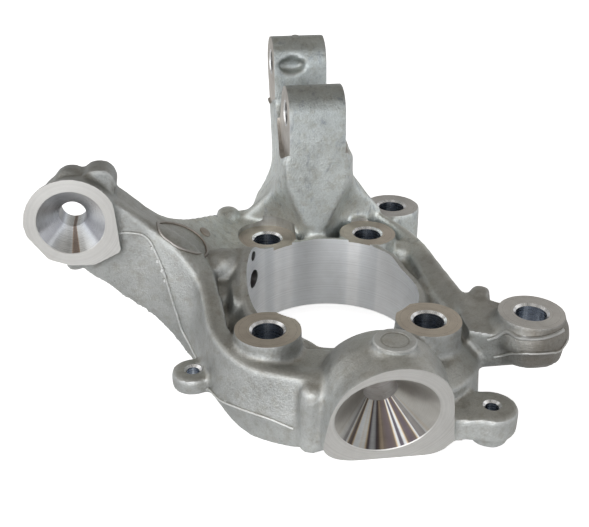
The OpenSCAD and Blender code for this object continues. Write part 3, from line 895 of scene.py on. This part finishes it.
# %% Smooth line
def between(before, start, end, after, t):
    """A place between start and end on the smooth line through all four."""
    return 0.5 * (2 * start + (end - before) * t + (2 * before - 5 * start + 4 * end - after) * t ** 2
                  + (3 * start - before - 3 * end + after) * t ** 3)


def smooth_line(stations, steps):
    """A smooth line through the stations, with so many steps from each to the next."""
    points = [Vector(p) for p in stations]
    padded = [points[0], *points, points[-1]]
    line = [between(*padded[k:k + 4], j / steps) for k in range(len(points) - 1) for j in range(steps)]
    return line + [points[-1]]


# %% [markdown]
# ## The beam's seam
#
# Where the halves of a mould meet, a little metal creeps between them. It leaves a thin proud line, the seam,
# with a bead here and there, and the line is given a lighter tone than the skin. One runs along the outer side
# of the beam, from the tie rod's boss to the ball joint. It is laid through stations that follow that side, and
# the beads are short pieces of a thicker line.

# %% Beam seam
BEAM_SEAM = [(-106, 8, 69), (-100, 7.6, 68.6), (-94.5, 7.2, 67.6), (-91, 6, 64.6), (-88.8, 4.8, 60),
             (-86.5, 2.7, 54), (-84.5, 0.8, 47.5), (-82.4, -1, 38), (-79.6, -2.8, 26.5), (-77, -4.2, 17),
             (-73.5, -13, 10.5), (-69.5, -28, 9), (-67, -40, 9), (-62, -53, 9.6), (-53.9, -62.1, 10.8),
             (-41, -70.6, 10), (-30, -75.2, 6.8)]
BEADS = [(-89.7, 5.4, 62), (-87.2, 3.3, 55.6), (-85.3, 1.6, 51), (-84.2, 0.6, 46)]
BEAD_LENGTH = Vector((0.3, 0.4, 1.6))
ridge(casting, "beam seam", on_skin(casting, smooth_line(BEAM_SEAM, 5), 0.2), 0.6, lighter_skin)
for bead in BEADS:
    ridge(casting, "bead", on_skin(casting, [bead, Vector(bead) - BEAD_LENGTH], 0.3), 0.95, lighter_skin)

# %% [markdown]
# ## Flash and ledge of the caliper ear
#
# The lower caliper ear was shaped by two mould halves that didn't quite meet. The gap left a fin of flash round
# its foot and a soft ledge above it. The fin is a thin line in the lighter tone, as on the beam. The ledge is a
# thicker line in the casting's own skin, sunk a little so that only its back shows.

# %% Ear flash and ledge
EAR_FLASH = [(69.6, -51.8, 21.8), (73.2, -53.6, 23.9), (76.2, -57.9, 27.6), (80, -62.7, 29.9),
             (85.1, -64.2, 30.5), (91.4, -64.2, 30.5), (97.2, -62.2, 29.9), (101.9, -58, 32.9)]
EAR_LEDGE = [(66.2, -50.1, 30.6), (69.8, -51.9, 33.2), (73.3, -54.5, 37.3), (77.8, -59.6, 36.9),
             (87.7, -62.4, 37.9), (99.1, -57.9, 38.6)]
ridge(casting, "ear flash", on_skin(casting, smooth_line(EAR_FLASH, 4), 0.1), 0.65, lighter_skin)
ridge(casting, "ear ledge", on_skin(casting, smooth_line(EAR_LEDGE, 4), -0.3), 1.2, cast)

# %% [markdown]
# ## The oval ring
#
# A raised oval ring sits at the root of the steering arm, where a round cutter ran through the mould. A torus
# could be squeezed to that shape, but the skin under it bends. So its points lie on a flat oval first, are
# dropped onto the skin one by one, and the line through them is closed.

# %% Oval ring
OVAL_CENTRE = Vector((-74.6, 17.8, 59.5))
OVAL_ACROSS, OVAL_ALONG = Vector((0.652, 0.487, -0.579)), Vector((-0.235, 0.965, 0.11))
OVAL_HALF_WIDTH, OVAL_HALF_HEIGHT = 18, 14
OVAL_STEPS = 40


def oval_point(turn):
    return (OVAL_CENTRE + OVAL_ACROSS * OVAL_HALF_WIDTH * math.cos(turn)
            + OVAL_ALONG * OVAL_HALF_HEIGHT * math.sin(turn))


oval = [oval_point(2 * math.pi * k / OVAL_STEPS) for k in range(OVAL_STEPS)]
ridge(casting, "oval ring", on_skin(casting, oval, 0.1), 0.75, stained, closed=True)

# %% [markdown]
# ## Buttons
#
# The pins that push a casting out of its mould leave round marks, and so does the plug of a vent. The mark on
# the dome is a low disc with a shallow dish in it. Each is a turned solid, sunk a few millimetres and melted in
# by a union, which keeps the small steps that a remesh would blur.

# %% Buttons
def button(piece, name, place, axis, profile, finish, sides=32):
    """A turned bump that grows out of the skin."""
    combine(piece, turned(name, [(r, z, finish) for r, z in profile], place, axis, sides), "UNION")


button(casting, "nub beside the oval", (-62.9, 39.5, 51.6), (0.6, -0.17, 0.78), [(3.6, -2), (3.2, 0.5), (2, 1.1)],
       stained)
button(casting, "nub on the tower", (-4.5, 118.5, 134.5), INWARD, [(3.4, -2), (3, 1.2), (1.6, 1.9)], cast)
button(casting, "ejector mark on the dome", (12.4, -81, 53.6), INWARD,
       [(9.8, -4), (9.6, 0.2), (9, 0.8), (6.6, 0.8), (6.2, 0.45), (5.6, 0.45), (5.2, 0.7), (1, 0.7)], cast, 48)

# %% [markdown]
# ## Boring the hub
#
# Now the tools. The bore takes the wheel bearing, and the bearing's flange sits in the recess behind it. A lathe
# turns both in one clamping, so one cutter has both profiles, with a small chamfer between them. It has 192
# sides, because the bore is the largest circle in the picture and its outline must not look cornered.

# %% Bore and flange seat
combine(casting, turned("bore cutter", [(FLANGE_R, -12, hub_metal), (FLANGE_R, 0, hub_metal),
        (BORE_R + 1, 0, hub_metal), (BORE_R, 1, edge_metal), (BORE_R, 75, bore_metal)], HUB, INWARD, 192))

# %% [markdown]
# ## Bolt seats
#
# A bolt head needs a flat, square face, so each boss is faced by a flat cutter and then drilled. The mouth of the
# hole gets a small chamfer, which catches the light as a bright ring. Where the cutter ran past the boss it
# leaves a short wall in the casting. One cutter makes all of it, and each seat has its own finish, because its
# rings must be round about its own hole.

# %% Bolt seats
SEAT_TAN, SEAT_GREY = (0.64, 0.57, 0.48), (0.61, 0.59, 0.56)
DRILLED = (0.84, 0.89, 0.96)
# Painted reflection streaks on the walls of the drilled holes.
HOLE_PAINTED_REFLECTIONS = [(0.42, (0.42, 0.44, 0.48)), (0.50, (0.62, 0.65, 0.70)), (0.56, CLEAN), (0.62, (0.5, 0.52, 0.56))]
CHAMFER_DEPTH, CHAMFER_WIDTH = 1.1, 1.2
HUB_SEAT_R, LOWER_EAR_R, UPPER_EAR_R = 16.2, 18.5, 17
wall_metal = cut_metal("milled_seat_wall", (0.60, 0.62, 0.62), 0.5, brushed=0.2)


def seat(piece, name, place, height, radius, hole, colour, clear=6):
    """A faced seat with a drilled hole; the facing tool clears a few millimetres above the seat."""
    centre = (*place, 0)
    label = name.replace(" ", "_")
    finish = cut_metal(label, colour, 0.30, centre, pitch=0.6, dirt=0.15)
    drilled = cut_metal(label + "_hole", DRILLED, 0.26, centre, pitch=0.8, hoops=True, streaks=(1.7, 1, HOLE_PAINTED_REFLECTIONS))
    combine(piece, turned(name, [(hole, -12, drilled), (hole, height - CHAMFER_DEPTH, drilled),
            (hole + CHAMFER_WIDTH, height, edge_metal), (radius, height, finish),
            (radius, height + clear, wall_metal)], centre, INWARD))


for k, place in enumerate(hub_bolts):
    seat(casting, f"hub bolt seat {k + 1}", place, SEAT_Z, HUB_SEAT_R, BOLT_R, SEAT_TAN)
seat(casting, "lower caliper seat", lower_caliper, CALIPER_Z, LOWER_EAR_R, BOLT_R, SEAT_GREY)
seat(casting, "upper caliper seat", upper_caliper, CALIPER_Z, UPPER_EAR_R, BOLT_R, SEAT_GREY)

# %% [markdown]
# ## Shield screw holes
#
# Two small ears carry the brake's splash shield. Their screws need only a narrow spot face and a small hole, so
# the bolt seat's cutter does them too, at their own height.

# %% Shield screw holes
for k, place in enumerate((lower_shield, side_shield)):
    seat(casting, f"shield screw {k + 1}", place, SHIELD_Z, 5.5, 3.1, (0.7, 0.69, 0.67), clear=3)

# %% [markdown]
# ## The tie rod's taper
#
# The pin of the tie rod wedges in a cone, so the boss is milled flat in front, and the cone is reamed to a
# smooth finish. Its streaks are calm painted reflections: grey above, brighter below, and one brown wedge at
# the bottom. The edge between cone and face is cut in the face's own finish, so no bright ring shows there.

# %% Tie rod taper
MILLED = (0.72, 0.715, 0.70)
# Painted reflections in the tie rod's cone: grey above, white wedges below and a brown wedge at the bottom.
TIE_CONE_PAINTED_REFLECTIONS = [(0.0, (0.66, 0.66, 0.68)), (0.45, (0.56, 0.56, 0.58)), (0.62, (0.52, 0.52, 0.55)),
               (0.70, (0.95, 0.97, 1.0)), (0.922, (1.0, 0.99, 0.96)), (0.930, (0.72, 0.56, 0.44)),
               (0.937, (0.40, 0.32, 0.27))]
tie_face = cut_metal("milled_tie_rod_face", MILLED, 0.45, tie_rod, tie_axis, 0.9, depth=0.004, dirt=0.05, brushed=0.2)
tie_cone = cut_metal("reamed_tie_rod_taper", (0.72, 0.73, 0.74), 0.27, tie_rod, tie_axis, 0.25, hoops=True,
                     depth=0.001, dirt=0.08, streaks=(3, 0.12, TIE_CONE_PAINTED_REFLECTIONS))
combine(casting, turned("tie rod cutter", [(29, -15, tie_face), (29, 0, tie_face), (16.4, 0, tie_face),
        (16.1, 0.3, tie_face), (6.6, 11, tie_cone), (6.6, 60, tie_cone)], tie_rod, tie_axis, 96))

# %% [markdown]
# ## The ball joint's taper
#
# The ball joint's cone is wider, and it ends in a drilled hole with a closed end. It leans 13 degrees, and its
# lower side gets wild streaks of painted reflection, from nearly black to a cold white with a touch of gold. It
# is cut in the same way as the tie rod's taper, with tints of its own.

# %% Ball joint taper
# Painted reflections in the ball joint's cone, from nearly black to cold white and gold.
BALL_CONE_PAINTED_REFLECTIONS = [(0.36, (0.62, 0.64, 0.68)), (0.41, (0.13, 0.11, 0.13)), (0.46, (0.18, 0.15, 0.13)),
              (0.49, (0.66, 0.54, 0.40)), (0.51, (0.72, 0.74, 0.76)), (0.54, (0.68, 0.71, 0.75)),
              (0.555, (0.13, 0.12, 0.15)), (0.61, (0.19, 0.17, 0.17)), (0.63, (0.60, 0.66, 0.78)),
              (0.68, (0.16, 0.13, 0.13))]
ball_face = cut_metal("milled_ball_joint_face", MILLED, 0.45, ball, ball_axis, 0.9, depth=0.004, dirt=0.05,
                      brushed=0.2)
ball_cone = cut_metal("reamed_ball_joint_taper", (0.62, 0.61, 0.58), 0.32, ball, ball_axis, 0.25, hoops=True,
                      depth=0.001, dirt=0.12, streaks=(2.3, 1, BALL_CONE_PAINTED_REFLECTIONS))
ball_end = cut_metal("drilled_ball_joint_end", (0.90, 0.89, 0.88), 0.45, ball, ball_axis, 0.7, hoops=True,
                     brushed=0.2)
combine(casting, turned("ball joint cutter", [(41, -30, ball_face), (41, 0, ball_face), (23.5, 0, ball_face),
        (23.1, 0.4, ball_face), (7.8, 16, ball_cone), (7.8, 31, ball_end), (0.6, 34, ball_end)],
        ball, ball_axis, 96))

# %% [markdown]
# ## The strut's clamp
#
# The strut's bracket grips the tower between two plates, so both sides of both lobes are milled flat and two
# bolts cross them. Each lobe is faced from either side by a round cutter whose floor lies in the plate's plane,
# and is then drilled through, with a chamfer at both ends.

# %% Strut clamp
clamp_metal = cut_metal("milled_clamp_face", (0.66, 0.63, 0.59), 0.36, strut_bolts[0], strut_axis, 1.2)
cross_metal = cut_metal("drilled_cross_hole", grey(0.6), 0.3, strut_bolts[0], strut_axis, 1.0)
for k, hole in enumerate(strut_bolts):
    for way in (-strut_axis, strut_axis):
        combine(casting, turned(f"clamp facing {k + 1}", [(24, 0, clamp_metal), (24, 22, clamp_metal)],
                hole + way * PLATE_HALF, way))
    combine(casting, turned(f"cross drill {k + 1}", [(7.2, -15.2, edge_metal), (6.25, -14.2, edge_metal),
            (6.25, 14.2, cross_metal), (7.2, 15.2, edge_metal)], hole, strut_axis))

# %% [markdown]
# ## The sensor's holes
#
# A wheel speed sensor looks through the barrel's wall from outside, held by one screw. Both holes are drilled
# along the same line from the axis, and they come out as two dark spots in the bright bore.

# %% Sensor holes
port_metal = cut_metal("drilled_sensor_port", grey(0.5), 0.3, sensor_port, sensor_out, 1.0)
combine(casting, turned("sensor drill", [(5, 36, port_metal), (5, 62, port_metal)], sensor_port, sensor_out, 48))
combine(casting, turned("sensor screw drill", [(2.65, 36, port_metal), (2.65, 52, port_metal)], sensor_screw,
        sensor_out, 32))

# %% [markdown]
# ## Crisp edges, soft skin
#
# The whole casting is shaded smooth, but where a tool has cut, the edge must stay sharp. Shading by angle does
# most of it. A flat seat that runs out into the skin at a shallow angle would still smear, so each edge between
# two different finishes is marked sharp as well.

# %% Shading
def crisp(piece, degrees):
    pick(piece)
    bpy.ops.object.shade_smooth_by_angle(angle=math.radians(degrees))
    finish_at = {}
    for face in piece.data.polygons:
        for key in face.edge_keys:
            finish_at.setdefault(key, set()).add(face.material_index)
    borders = [edge for edge in piece.data.edges if len(finish_at.get(edge.key, ())) > 1]
    for edge in borders:
        edge.use_edge_sharp = True
    print("sharp borders between finishes:", len(borders))


crisp(casting, 32)
triangles = sum(len(face.vertices) - 2 for face in casting.data.polygons)
print("casting:", triangles, "triangles,", len(casting.data.materials), "finishes")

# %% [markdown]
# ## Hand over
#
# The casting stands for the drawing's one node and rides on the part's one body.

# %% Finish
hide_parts("knuckle")
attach(casting, "root")
